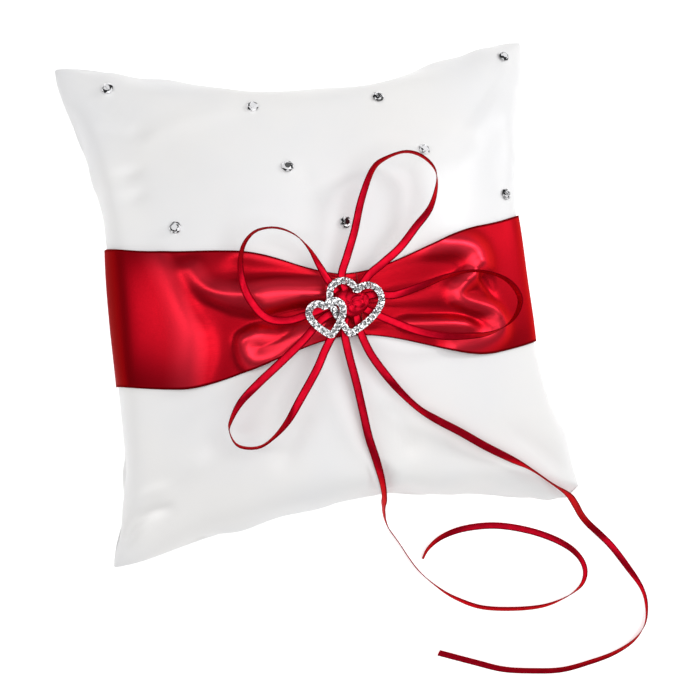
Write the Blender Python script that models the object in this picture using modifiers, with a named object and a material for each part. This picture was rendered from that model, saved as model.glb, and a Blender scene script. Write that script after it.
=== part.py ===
"""Ring bearer pillow: a stuffed satin square with a gathered ribbon sash, a narrow ribbon bow and a brooch.

The pillow lies on its back. X runs to its right, Y to its top edge and Z out of its face. The origin is
the middle of the back panel, on the surface that the pillow rests on. Sizes here are in millimetres.
"""

import math

import bmesh
import bpy
from mathutils import Quaternion, Vector

MM = 0.001

# Pillow
HALF_SIDE = 96.5  # from the middle to a corner, along X and along Y
EDGE_PULL = 12.0  # how far the filling draws the middle of each edge in
SEAM_HEIGHT = 32.0
FRONT_RISE = 42.0  # from the seam's height to the top of the face
BACK_DROP = 36.0  # how far the back would bulge below the seam with nothing under it
ROUNDNESS = 2.2
STEEPNESS = 0.55
PANEL_THICKNESS = 0.4
SEAM_GAP = 2.0  # between the two panels' edges, where the seam's thread runs
PANEL_CELLS = 20
FILLING_SCALE = 0.94
FILLING_LOSS = 2.2  # how much flatter the filling is than each panel
FILLING_FLOOR = 1.1
FILLING_CUTS = 8

# Threads
THREAD_RADIUS = 0.25
SEAM_INSET = 0.3
OPENING_HALF = 30.0  # half of the hand-sewn opening in the bottom edge
STITCH_COUNT = 9
STITCH_DEPTH = 0.9

# Sash: the wide ribbon across the face
SASH_THICKNESS = 0.4
SASH_LIFT = 1.6
SASH_END = 0.985  # how near its ends come to the side seams, as a share of the half width
SASH_GATHERED_HALF = 11.0
SASH_OPEN_HALF = 24.5
SASH_END_HALF = 27.5
SASH_SPREAD = 62.0  # distance from the gather at which the sash is open again
SASH_CENTRE_Y = -9.5
SASH_END_RISE = 6.5
SASH_CELLS_ALONG = 36
SASH_CELLS_ACROSS = 8
GATHER_X = 7.0
GATHER_MARGIN = 1.6

# Bow: knot, loops and tails of narrow ribbon
RIBBON_WIDTH = 3.0
RIBBON_THICKNESS = 0.4
RIBBON_STEP = 6.0  # distance between the points of a ribbon solid
KNOT_AT = (-4.0, -9.5, 79.0)
KNOT_RADII = (4.4, 3.6, 1.5)

# Each route point is x, y, z and the twist in degrees: 0 lies flat, 90 stands on edge. A height of 0 lies
# on the surface that the pillow rests on.
LOOP_ROUTES = {
    "bow_loop_upper_right": [
        (-4, -5, 79.8, 0), (-5, 1, 80, 0), (-2, 8, 80, 0), (2, 17, 80, 10), (6, 28, 80, 20), (12, 39, 79, 45),
        (18, 43, 78, 75), (26, 45, 77, 90), (32, 43, 77, 95), (36, 38, 78, 100), (36, 32, 79, 115),
        (32, 23, 80, 140), (25, 16, 81, 160), (18, 9, 81, 170), (11, 4, 80, 180), (5, 0, 80, 180),
        (0, -6, 79.8, 180),
    ],
    "bow_loop_upper_left": [
        (-7, -5, 79, 0), (-10, 0, 79, 10), (-13, 6, 80, 30), (-16, 12, 81, 60), (-20, 17, 81, 80),
        (-25, 20, 81, 90), (-30, 21, 80, 90), (-35, 20, 79, 95), (-39, 16, 78, 105), (-41, 10, 78, 120),
        (-41, 3, 77, 140), (-39, -4, 77, 160), (-34, -11, 77, 170), (-27, -13, 78, 180),
        (-20, -12, 79, 180), (-13, -10, 80, 180), (-9, -9, 79.8, 180),
    ],
    "bow_loop_lower_left": [
        (-6, -14, 79, 0), (-10, -19, 79, 0), (-14, -25, 78, 0), (-18, -32, 77, 10), (-25, -42, 75, 20),
        (-30, -49, 73, 50), (-35, -54, 70, 80), (-40, -57, 68, 90), (-45, -57, 67, 90), (-49, -55, 67, 90),
        (-51, -50, 68, 95), (-50, -46, 70, 105), (-46, -40, 72, 130), (-39, -34, 74, 160),
        (-31, -28, 76, 170), (-22, -21, 78, 180), (-14, -14, 78.6, 180), (-9, -12, 78.8, 180),
    ],
    "bow_loop_right": [
        (1, -8, 79, 0), (7, -7, 79, 0), (14, -8, 79, 10), (24, -6, 79, 30), (36, -3, 78, 60), (47, -2, 76, 80),
        (57, -4, 73, 90), (64, -8, 70, 90), (67, -14, 69, 90), (64, -20, 70, 95), (58, -24, 72, 105),
        (50, -26, 74, 125), (41, -26, 76, 145), (31, -25, 78, 160), (21, -22, 79, 170), (11, -17, 79, 180),
        (4, -13, 79, 180), (1, -11, 79, 180),
    ],
}
TAIL_ROUTES = {
    "ribbon_tail_left": [
        (-5, -14, 78.2, 0), (-6, -20, 77.5, 0), (-5, -28, 76, 0), (-3, -38, 73.5, 0), (-1, -49, 70, 0),
        (1, -59, 66, 10), (4, -68, 61, 20), (7, -77, 54, 50), (9.4, -84, 45, 70), (11.4, -88, 34, 80),
        (14, -91, 23, 85), (17, -96, 11, 85), (20, -101, 3, 85), (24, -108, 0, 85), (31, -121, 0, 85),
        (40, -131, 0, 65), (48, -137, 0, 45), (58, -142, 0, 35), (72, -145, 0, 32), (86, -146, 0, 35),
        (97, -144, 0, 50), (105, -140, 0, 75), (108, -134, 0, 90), (106, -127, 0, 110),
        (99, -120, 0, 135), (86, -113, 0, 145), (70, -108, 0, 148), (55, -107, 0, 145),
        (44, -109, 0, 130), (37, -113, 0, 115), (34, -117, 0, 105),
    ],
    "ribbon_tail_right": [
        (-1, -13, 78.2, 0), (0, -20, 77.5, 0), (3, -28, 76, 0), (8, -36, 74, 10), (14, -44, 72, 40),
        (21, -51, 69, 45), (28, -56, 67, 20), (38, -62, 63, 0), (49, -69, 58, 0), (61, -76, 53, 30),
        (71, -82, 48, 75), (81, -89, 42, 80), (90, -95, 36, 55), (97, -101, 26, 30), (104, -107, 14, 10),
        (111, -113, 5, 10), (121, -123, 0, 15), (129, -136, 0, 40), (134, -146, 0, 75),
        (135, -154, 0, 92), (133, -162, 0, 110), (127, -168, 0, 130), (117, -172, 0, 140),
        (105, -174, 0, 145), (91, -175, 0, 148), (77, -173, 0, 148), (64, -170, 0, 148),
        (52, -165, 0, 148), (36, -158, 0, 148),
    ],
}

# Brooch: two joined hearts
HEART_LOBE_RADIUS = 4.6
HEART_LOBE_X = 4.25
HEART_TIP_Y = -12.5
HEART_FLANK = 5.0  # length of the tangent that shapes the flank between lobe and tip
HEART_CLEFT_ANGLE = 157.5
HEART_FLANK_ANGLE = -10.0
BAND_WIDTH = 2.8
BAND_THICKNESS = 1.2
HEARTS = {
    # place of the lobes' middle, size, turn about Z and tilt about Y in degrees
    "large_heart_frame": ((-1.1, -7.3, 81.6), 1.1, -16.0, 0.0),
    "small_heart_frame": ((-13.0, -11.5, 82.8), 0.71, 5.0, -7.0),
}
CLASP_STITCHES = {"brooch_stitch_left": (-4.2, -1.15), "brooch_stitch_right": (4.8, -3.7)}
CLASP_STITCH_REACH = 2.1
CLASP_STITCH_RISE = 1.4
CLASP_STITCH_DROP = 40.0  # degrees by which its ends run down past the band's middle

# Rhinestones glued to the face
STONE_RADIUS = 2.35
STONE_TABLE_RADIUS = 1.3
STONE_HEIGHT = 1.9
STONE_SIDES = 16
STONE_LIFT = 0.5
STONE_PLACES = [
    (-78, 85), (-25.5, 71), (24.5, 71.5), (85.5, 89),
    (-17, 45), (38, 48),
    (-60.5, 27), (1.5, 21.5), (73, 29.5),
]

# Finishes: colour, roughness and metallic value
FINISHES = {
    "white_satin": ((0.9, 0.89, 0.9, 1), 0.4, 0.0),
    "polyester_fibre": ((0.93, 0.93, 0.93, 1), 0.9, 0.0),
    "white_thread": ((0.9, 0.9, 0.88, 1), 0.6, 0.0),
    "red_satin": ((0.62, 0.0, 0.02, 1), 0.32, 0.0),
    "red_ribbon": ((0.58, 0.0, 0.02, 1), 0.38, 0.0),
    "red_thread": ((0.5, 0.0, 0.02, 1), 0.6, 0.0),
    "silver_metal": ((0.8, 0.8, 0.82, 1), 0.2, 1.0),
    "clear_crystal": ((0.85, 0.87, 0.9, 1), 0.05, 0.2),
}


def clear_scene():
    for obj in list(bpy.data.objects):
        bpy.data.objects.remove(obj, do_unlink=True)


def new_collection(name):
    collection = bpy.data.collections.new(name)
    bpy.context.scene.collection.children.link(collection)
    return collection


def make_finish(name):
    colour, roughness, metallic = FINISHES[name]
    material = bpy.data.materials.new(name)
    material.use_nodes = True
    shader = material.node_tree.nodes["Principled BSDF"]
    shader.inputs["Base Color"].default_value = colour
    shader.inputs["Roughness"].default_value = roughness
    shader.inputs["Metallic"].default_value = metallic
    material.diffuse_color = colour
    return material


def add_object(name, data, finish):
    obj = bpy.data.objects.new(name, data)
    PARTS.objects.link(obj)
    obj.data.materials.append(make_finish(finish))
    return obj


def mesh_from(bm, name):
    mesh = bpy.data.meshes.new(name)
    bm.to_mesh(mesh)
    bm.free()
    mesh.shade_smooth()
    return mesh


def smoothstep(value):
    value = min(max(value, 0.0), 1.0)
    return value * value * (3 - 2 * value)


def blend(start, end, share):
    return start + (end - start) * share


# Pillow surface: s and t run from -1 to 1 across the face and are the same on both panels.


def fullness(s, t):
    across = max(1 - abs(s) ** ROUNDNESS, 0.0)
    along = max(1 - abs(t) ** ROUNDNESS, 0.0)
    return (across * along) ** STEEPNESS


def plan_place(s, t):
    x = s * (HALF_SIDE - EDGE_PULL * (1 - t**4))
    y = t * (HALF_SIDE - EDGE_PULL * (1 - s**4))
    return x, y


def face_point(s, t):
    x, y = plan_place(s, t)
    return Vector((x, y, SEAM_HEIGHT + SEAM_GAP / 2 + FRONT_RISE * fullness(s, t)))


def back_point(s, t):
    x, y = plan_place(s, t)
    return Vector((x, y, max(SEAM_HEIGHT - SEAM_GAP / 2 - BACK_DROP * fullness(s, t), 0.0)))


def share_at(x, y):
    """The s and t of a place given in plan."""
    s, t = x / HALF_SIDE, y / HALF_SIDE
    for _ in range(12):
        s, t = (
            x / (HALF_SIDE - EDGE_PULL * (1 - t**4)),
            y / (HALF_SIDE - EDGE_PULL * (1 - s**4)),
        )
    return s, t


def face_normal(s, t):
    step = 0.004
    low_s, high_s = max(s - step, -1.0), min(s + step, 1.0)
    low_t, high_t = max(t - step, -1.0), min(t + step, 1.0)
    along_s = face_point(high_s, t) - face_point(low_s, t)
    along_t = face_point(s, high_t) - face_point(s, low_t)
    return along_s.cross(along_t).normalized()


def above_face(x, y, lift):
    s, t = share_at(x, y)
    return face_point(s, t) + face_normal(s, t) * lift


def build_panel(name, point_on_panel, faces_up):
    bm = bmesh.new()
    bmesh.ops.create_grid(bm, x_segments=PANEL_CELLS, y_segments=PANEL_CELLS, size=1)
    for vert in bm.verts:
        s = math.sin(vert.co.x * math.pi / 2)
        t = math.sin(vert.co.y * math.pi / 2)
        vert.co = point_on_panel(s, t) * MM
    if not faces_up:
        bmesh.ops.reverse_faces(bm, faces=bm.faces)
    panel = add_object(name, mesh_from(bm, name), "white_satin")
    shell = panel.modifiers.new("cloth", "SOLIDIFY")
    shell.thickness = PANEL_THICKNESS * MM
    shell.offset = -1


def build_filling():
    bm = bmesh.new()
    bmesh.ops.create_cube(bm, size=2)
    bmesh.ops.subdivide_edges(bm, edges=bm.edges, cuts=FILLING_CUTS, use_grid_fill=True)
    for vert in bm.verts:
        s = math.sin(vert.co.x * math.pi / 2)
        t = math.sin(vert.co.y * math.pi / 2)
        x, y = plan_place(s, t)
        rise = FRONT_RISE if vert.co.z > 0 else BACK_DROP
        z = SEAM_HEIGHT + vert.co.z + math.copysign((rise - FILLING_LOSS) * fullness(s, t), vert.co.z)
        vert.co = Vector((x * FILLING_SCALE, y * FILLING_SCALE, max(z, FILLING_FLOOR))) * MM
    add_object("fibre_filling", mesh_from(bm, "fibre_filling"), "polyester_fibre")


def build_thread(name, points, radius, finish, closed=False):
    data = bpy.data.curves.new(name, "CURVE")
    data.dimensions = "3D"
    data.bevel_depth = radius * MM
    data.bevel_resolution = 2
    data.use_fill_caps = not closed
    spline = data.splines.new("POLY")
    spline.points.add(len(points) - 1)
    for place, point in zip(spline.points, points):
        place.co = (*(Vector(point) * MM), 1)
    spline.use_cyclic_u = closed
    add_object(name, data, finish)


def edge_place(side, share, inset):
    """A point beside one edge of the seam: side 0 is the bottom edge, and the sides run anticlockwise."""
    s, t = [(share, -1), (1, share), (-share, 1), (-1, -share)][side]
    x, y = plan_place(s, t)
    inward = [(0, 1), (-1, 0), (0, -1), (1, 0)][side]
    return Vector((x + inward[0] * inset, y + inward[1] * inset, SEAM_HEIGHT))


def build_seam_threads():
    corner_stop = 0.985
    opening = OPENING_HALF / HALF_SIDE
    steps = 16
    points = []
    for side in (0, 1, 2, 3, 0):
        start, end = -corner_stop, corner_stop
        if side == 0:
            start, end = (opening, corner_stop) if not points else (-corner_stop, -opening)
        points += [edge_place(side, blend(start, end, i / steps), SEAM_INSET) for i in range(steps + 1)]
    build_thread("seam_thread", points, THREAD_RADIUS, "white_thread")

    turns = 2 * STITCH_COUNT
    reach = opening - 0.012
    points = [
        edge_place(0, blend(-reach, reach, i / turns), SEAM_INSET + STITCH_DEPTH * (i % 2))
        for i in range(turns + 1)
    ]
    build_thread("closing_stitches", points, THREAD_RADIUS, "white_thread")


def sash_half_width(x):
    opened = smoothstep(abs(x - KNOT_AT[0]) / SASH_SPREAD)
    stretched = (abs(x) / HALF_SIDE) ** 3
    half = blend(SASH_GATHERED_HALF, SASH_OPEN_HALF, opened)
    return half + (SASH_END_HALF - SASH_OPEN_HALF) * stretched * opened


def sash_place(s, across):
    """The s and t under a point of the sash, with across from -1 at its lower edge to 1 at its upper one."""
    x = s * (HALF_SIDE - EDGE_PULL)
    y = SASH_CENTRE_Y + SASH_END_RISE * s**4 + across * sash_half_width(x)
    return s, y / (HALF_SIDE - EDGE_PULL * (1 - s**4))


def build_sash():
    bm = bmesh.new()
    bmesh.ops.create_grid(bm, x_segments=SASH_CELLS_ALONG, y_segments=SASH_CELLS_ACROSS, size=1)
    for vert in bm.verts:
        s, t = sash_place(SASH_END * math.sin(vert.co.x * math.pi / 2), vert.co.y)
        vert.co = (face_point(s, t) + face_normal(s, t) * SASH_LIFT) * MM
    sash = add_object("sash_ribbon", mesh_from(bm, "sash_ribbon"), "red_satin")
    cloth = sash.modifiers.new("cloth", "SOLIDIFY")
    cloth.thickness = SASH_THICKNESS * MM
    cloth.offset = 1


def build_gathering_thread():
    half = sash_half_width(GATHER_X) + GATHER_MARGIN
    under, over = SASH_LIFT / 2, SASH_LIFT + SASH_THICKNESS + SASH_LIFT / 2
    steps = 8
    below = [(blend(-half, half, i / steps), under) for i in range(steps + 1)]
    above = [(blend(half, -half, i / steps), over) for i in range(steps + 1)]
    points = [above_face(GATHER_X, SASH_CENTRE_Y + y, lift) for y, lift in below + above]
    build_thread("gathering_thread", points, THREAD_RADIUS, "red_thread", closed=True)


def build_knot():
    bm = bmesh.new()
    bmesh.ops.create_uvsphere(bm, u_segments=20, v_segments=12, radius=1)
    for vert in bm.verts:
        vert.co = Vector(vert.co[i] * KNOT_RADII[i] for i in range(3)) * MM
    knot = add_object("bow_knot", mesh_from(bm, "bow_knot"), "red_ribbon")
    knot.location = Vector(KNOT_AT) * MM


def smooth_route(route):
    """The route's points and twists on a smooth curve through them, about RIBBON_STEP apart."""
    rows = [route[0], *route, route[-1]]
    fine = []
    for before, start, end, after in zip(rows, rows[1:], rows[2:], rows[3:]):
        parts = max(1, round((Vector(end[:3]) - Vector(start[:3])).length / RIBBON_STEP))
        for part in range(parts):
            u = part / parts
            fine.append([
                0.5 * (2 * b + (c - a) * u + (2 * a - 5 * b + 4 * c - d) * u**2 + (3 * b - a - 3 * c + d) * u**3)
                for a, b, c, d in zip(before, start, end, after)
            ])
    fine.append(list(route[-1]))
    return [Vector(row[:3]) for row in fine], [math.radians(row[3]) for row in fine]


def ribbon_sides(points, twists):
    """The direction across the ribbon at each point: carried along without twist, then twisted."""
    facing = Vector((0, 0, 1))
    sides = []
    previous = None
    for i, twist in enumerate(twists):
        tangent = (points[min(i + 1, len(points) - 1)] - points[max(i - 1, 0)]).normalized()
        if previous is not None:
            facing = previous.rotation_difference(tangent) @ facing
        facing = (facing - tangent * facing.dot(tangent)).normalized()
        previous = tangent
        sides.append(Quaternion(tangent, twist) @ facing.cross(tangent))
    return sides


def build_ribbon(name, route):
    points, twists = smooth_route(route)
    sides = ribbon_sides(points, twists)
    bm = bmesh.new()
    bmesh.ops.create_grid(bm, x_segments=len(points) - 1, y_segments=1, size=1)
    for vert in bm.verts:
        index = round((vert.co.x + 1) / 2 * (len(points) - 1))
        middle = points[index].copy()
        half_height = RIBBON_THICKNESS / 2 + abs(sides[index].z) * RIBBON_WIDTH / 2
        middle.z = max(middle.z, half_height)
        vert.co = (middle + sides[index] * vert.co.y * RIBBON_WIDTH / 2) * MM
    ribbon = add_object(name, mesh_from(bm, name), "red_ribbon")
    cloth = ribbon.modifiers.new("cloth", "SOLIDIFY")
    cloth.thickness = RIBBON_THICKNESS * MM
    cloth.offset = 0


def heart_half():
    """The right half of the band's middle line, from the cleft to the tip."""
    steps = 14
    points = []
    for i in range(steps + 1):
        angle = math.radians(blend(HEART_CLEFT_ANGLE, HEART_FLANK_ANGLE, i / steps))
        points.append(Vector((
            HEART_LOBE_X + HEART_LOBE_RADIUS * math.cos(angle),
            HEART_LOBE_RADIUS * math.sin(angle),
        )))
    flank = math.radians(HEART_FLANK_ANGLE)
    start, tip = points[-1], Vector((0, HEART_TIP_Y))
    bend = start + HEART_FLANK * Vector((math.sin(flank), -math.cos(flank)))
    for i in range(1, steps + 1):
        u = i / steps
        points.append(start * (1 - u) ** 2 + bend * 2 * u * (1 - u) + tip * u**2)
    return points


def build_band_profile():
    """The band's cross-section, which the heart curves sweep."""
    data = bpy.data.curves.new("band_profile", "CURVE")
    spline = data.splines.new("POLY")
    spline.points.add(3)
    half_width, half_height = BAND_WIDTH / 2, BAND_THICKNESS / 2
    corners = [(-1, -1), (-1, 1), (1, 1), (1, -1)]
    for place, (across, up) in zip(spline.points, corners):
        place.co = (across * half_width * MM, up * half_height * MM, 0, 1)
    spline.use_cyclic_u = True
    profile = bpy.data.objects.new("band_profile", data)
    profile.hide_render = True
    profile.display_type = "WIRE"
    GUIDES.objects.link(profile)
    return profile


def build_heart(name, profile):
    place, size, turn, tilt = HEARTS[name]
    half = heart_half()
    outline = half + [Vector((-p.x, p.y)) for p in reversed(half[1:-1])]
    data = bpy.data.curves.new(name, "CURVE")
    data.dimensions = "2D"
    data.fill_mode = "NONE"
    data.bevel_mode = "OBJECT"
    data.bevel_object = profile
    spline = data.splines.new("POLY")
    spline.points.add(len(outline) - 1)
    for spot, point in zip(spline.points, outline):
        spot.co = (point.x * size * MM, point.y * size * MM, 0, 1)
    spline.use_cyclic_u = True
    heart = add_object(name, data, "silver_metal")
    heart.location = Vector(place) * MM
    heart.rotation_euler = (0, math.radians(tilt), math.radians(turn))


def build_clasp_stitches():
    steps = 12
    height = HEARTS["large_heart_frame"][0][2]
    for name, (x, y) in CLASP_STITCHES.items():
        points = []
        for i in range(steps + 1):
            angle = math.radians(blend(-CLASP_STITCH_DROP, 180 + CLASP_STITCH_DROP, i / steps))
            points.append((
                x,
                y + CLASP_STITCH_REACH * math.cos(angle),
                height + CLASP_STITCH_RISE * math.sin(angle),
            ))
        build_thread(name, points, THREAD_RADIUS, "red_thread")


def build_stones():
    for number, (x, y) in enumerate(STONE_PLACES, start=1):
        bm = bmesh.new()
        bmesh.ops.create_cone(
            bm, cap_ends=True, segments=STONE_SIDES, radius1=STONE_RADIUS * MM,
            radius2=STONE_TABLE_RADIUS * MM, depth=STONE_HEIGHT * MM,
        )
        name = f"rhinestone_{number}"
        stone = add_object(name, mesh_from(bm, name), "clear_crystal")
        s, t = share_at(x, y)
        stone.location = above_face(x, y, STONE_LIFT + STONE_HEIGHT / 2) * MM
        stone.rotation_euler = face_normal(s, t).to_track_quat("Z", "Y").to_euler()


clear_scene()
PARTS = new_collection("ring_bearer_pillow")
GUIDES = new_collection("guides")
build_panel("pillow_front_panel", face_point, True)
build_panel("pillow_back_panel", back_point, False)
build_filling()
build_seam_threads()
build_sash()
build_gathering_thread()
build_knot()
for ribbon_name, ribbon_route in {**LOOP_ROUTES, **TAIL_ROUTES}.items():
    build_ribbon(ribbon_name, ribbon_route)
band_profile = build_band_profile()
for heart_name in HEARTS:
    build_heart(heart_name, band_profile)
build_clasp_stitches()
build_stones()
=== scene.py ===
"""The looks of the ring bearer pillow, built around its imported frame. Sizes here are in millimetres."""

import math

import bpy
import numpy as np
from mathutils import Euler, Matrix, Quaternion, Vector
from mathutils.kdtree import KDTree


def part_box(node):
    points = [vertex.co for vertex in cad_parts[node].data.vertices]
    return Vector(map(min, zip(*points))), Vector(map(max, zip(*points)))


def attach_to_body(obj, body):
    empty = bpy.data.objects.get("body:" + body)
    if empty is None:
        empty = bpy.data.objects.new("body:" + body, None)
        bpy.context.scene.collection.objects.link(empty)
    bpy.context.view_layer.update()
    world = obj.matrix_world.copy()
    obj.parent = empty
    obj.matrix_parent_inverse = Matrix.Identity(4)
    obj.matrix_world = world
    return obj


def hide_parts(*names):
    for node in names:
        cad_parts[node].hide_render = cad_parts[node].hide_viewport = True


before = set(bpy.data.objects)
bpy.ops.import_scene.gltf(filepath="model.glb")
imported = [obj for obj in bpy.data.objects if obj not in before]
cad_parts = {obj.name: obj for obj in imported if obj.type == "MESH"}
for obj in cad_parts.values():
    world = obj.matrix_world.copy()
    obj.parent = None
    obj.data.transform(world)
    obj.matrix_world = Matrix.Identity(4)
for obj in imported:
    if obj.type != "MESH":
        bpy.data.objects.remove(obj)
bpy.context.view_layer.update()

MM = 0.001

# Camera, at the photograph's viewing angle
CAMERA_AT = (-107.4, -40.2, 503.3)
CAMERA_TURN = (3.544, -13.215, -7.373)  # degrees about X, Y and Z
CAMERA_LENS = 61.7

# Light: name, place and target in metres, size in metres and power
WORLD_STRENGTH = 0.2
LIGHTS = [
    ("window", (0.78, 0.3, 0.6), (0, 0, 0.05), (0.2, 0.3), 2.5),
    ("left", (-0.69, 0.1, 0.75), (0, 0, 0.05), (0.2, 0.8), 2.0),
    ("right", (0.95, 0.1, 0.3), (0.08, 0, 0.04), (0.3, 0.5), 0.35),
    ("front", (0.1, -0.75, 0.8), (0, 0, 0.05), (0.4, 0.4), 0.9),
    ("back", (0.1, 0.8, 0.8), (0, 0, 0.05), (0.4, 0.4), 0.4),
    ("overhead", (0.1, -0.05, 1.0), (0, 0, 0.05), (0.9, 0.9), 4.9),
]
FLOOR_HALF = 3000.0
FLOOR_LEVEL = -0.3
FLOOR_GLOW = 0.5

# Colours: the darker and the lighter one that each finish mixes
WHITE_COOL, WHITE_WARM = (0.885, 0.885, 0.895), (0.92, 0.91, 0.9)
# The dark red: the sash threads' darker tone and woven edges, and painted shading in hollows and the left end
# The sash's crest colour is a painted highlight for the crests of its folds
SASH_DARK_AND_SHADE, SASH_RED, SASH_PAINTED_HIGHLIGHT = (0.2, 0.0, 0.003), (0.54, 0.006, 0.017), (1.0, 0.04, 0.075)
RIBBON_DARK, RIBBON_RED = (0.2, 0.0, 0.004), (0.55, 0.004, 0.02)
RED_EDGE = (0.75, 0.03, 0.06)
RED_LUSTRE = 0.88  # how far the red satins reflect as their coloured threads do
WHITE_THREAD, RED_THREAD = (0.88, 0.88, 0.87), (0.4, 0.0, 0.01)
THREAD_SHADE = 0.7  # how dark the painted shading in the hollows between a thread's plies is
FIBRE_DARK, FIBRE_LIGHT = (0.85, 0.85, 0.86), (0.97, 0.97, 0.97)
SILVER_DARK, SILVER_LIGHT = (0.04, 0.04, 0.045), (0.9, 0.9, 0.92)
# The stones' dark and light colours are painted reflections
CRYSTAL_DARK_REFLECTION, CRYSTAL_BRIGHT_REFLECTION = (0.01, 0.011, 0.013), (0.98, 0.98, 1.0)
PAPER_DARK, PAPER_LIGHT = (0.89, 0.89, 0.89), (0.91, 0.91, 0.91)
# The values of a noise between which a finish goes from one colour to the other
WHOLE_RANGE, FINE_RANGE, BROAD_RANGE, SILVER_SPECKLE_RANGE = (0, 1), (0.3, 0.7), (0.35, 0.65), (0.4, 0.62)

# Pillow, as the frame has it
FRONT_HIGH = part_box("pillow_front_panel")[1] / MM
HALF_SIDE = FRONT_HIGH.x
FACE_TOP = FRONT_HIGH.z
EDGE_PULL = 12.0
SEAM_HEIGHT = 32.0
BACK_DROP = 36.0
ROUNDNESS = 2.2
STEEPNESS = 0.55

# Cover: sewn flat, then stuffed by a cloth simulation
CLOTH_HALF = 100.0
CLOTH_CELLS = 54
CLOTH_FRAMES = 30
CLOTH_SETTINGS = {
    "mass": 0.15, "air_damping": 2, "use_pressure": True, "uniform_pressure_force": 10.0,
    "tension_stiffness": 60, "compression_stiffness": 60, "shear_stiffness": 20, "bending_stiffness": 0.02,
}
START_RISE = 4.0
SMOOTHING = 0.8  # share of its neighbours' mean that a point takes in one pass
SETTLE_PASSES = 70
IRON_PASSES = 3
CORNER_FADE = 3  # power of the fall-off of what moves a corner
EDGE_FADE = 3  # power of the fall-off inwards of what moves an edge
EDGE_STRAYS = [
    # axis and sign of the edge, place along it, reach as a share of the edge, distance outwards
    (0, 1, -0.06, 0.42, -9.0),
    (0, -1, -0.14, 0.3, 5.0),
    (0, -1, 0.62, 0.2, -2.2),
    (0, -1, -0.78, 0.24, -6.5),
    (1, 1, 0.0, 0.35, -5.0),
    (1, -1, 0.4, 0.45, 2.4),
]
PRESSED_HALF = 0.32  # reach of the sash's hold, as a share of half the face
PRESSED_MIDDLE = -0.08
PRESSED_FADE = 0.12
PRESSED_PASSES = 30
PRESSED_STRENGTH = 0.7
CREASE_FADE = 0.08  # share of half the face over which the creases start beside the sash
EDGE_SINE = 0.8  # share of a sine in how the cloth's cells crowd towards the seam
FLOOR_SOFTNESS = 2.0
COVER_STEP = 1.6
SEAM_ROWS = (0.0, 0.45, 0.9, 1.5, 2.3, 3.3)  # distances of the first lines of points from the seam
SEAM_GROOVE = 0.7
SEAM_THREAD_RADIUS = 0.2
SEAM_THREAD_INSET = 0.55
SEAM_THREAD_STEPS = 60
SEAM_THREAD_END = 0.99
OPENING_SHARE = 0.31
CLOSING_STITCHES = 22
CLOSING_REACH = 0.9
FILLING_INSET = 3.0
FILLING_HALF = 0.96
FILLING_LINES = 33
FILLING_LEAST = 1.0
SEARCH_ROUNDS = 14  # that find a surface's point over a place in plan

PUCKER_HEIGHT = 1.5
PUCKER_REACH = 9.0
PUCKER_START = 4.0  # distance from the seam at which the puckers are whole
PUCKER_WAVES = (7.0, 11.0, 17.0, 27.0)  # radians of each row, along half an edge
PUCKER_SHARES = (0.2, 0.6)  # of the height, for the weakest and the strongest row
END_FADE = 6  # power of the fall-off of puckers and folds towards an end
# Creases of the cover: height (negative for a hollow), half width and the line that each one follows
COVER_CREASES = [
    (-2.0, 2.2, [(-95, -92), (-88, -82), (-80, -77), (-70, -76)]),
    (1.0, 2.4, [(-92, -78), (-82, -70), (-70, -68)]),
    (0.8, 3.5, [(-90, -90), (-74, -70), (-56, -56)]),
    (0.6, 4.0, [(-72, 60), (-52, 68), (-30, 71)]),
    (-0.8, 3.0, [(-88, 72), (-74, 66), (-62, 66)]),
    (-1.0, 2.5, [(-84, 52), (-76, 50), (-66, 52)]),
    (-0.9, 2.4, [(-82, 42), (-74, 41), (-66, 43)]),
    (0.7, 4.0, [(88, 86), (72, 66), (58, 52)]),
    (-1.2, 4.0, [(5, -34), (13, -54), (22, -72)]),
    (0.9, 4.5, [(12, -34), (24, -52), (38, -70)]),
    (-0.9, 4.0, [(-12, -34), (-24, -52), (-34, -70)]),
    (-0.8, 3.5, [(-4, 12), (-8, 30), (-14, 48)]),
    (-0.4, 3.0, [(90, -88), (76, -74), (60, -64)]),
]
CREASE_TAPER = 9.0

# Sash
SASH_THICKNESS = 0.3
SASH_END = 0.992
SASH_GATHERED_HALF = 11.0
SASH_OPEN_HALF = 24.5
SASH_END_HALF = 27.0
SASH_SPREAD = 62.0
SASH_CENTRE_Y = -9.5
SASH_END_RISE = 6.5
SASH_BULGE = 5.5  # how far the left half's upper edge stands above the plain outline
SASH_BULGE_X = -32.0
SASH_BULGE_REACH = 22.0
SASH_COLUMNS = 190
SASH_ROWS = 60
SASH_LIFT = 0.5
SASH_LOFT = 1.3
GATHER_X = -4.0

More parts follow.
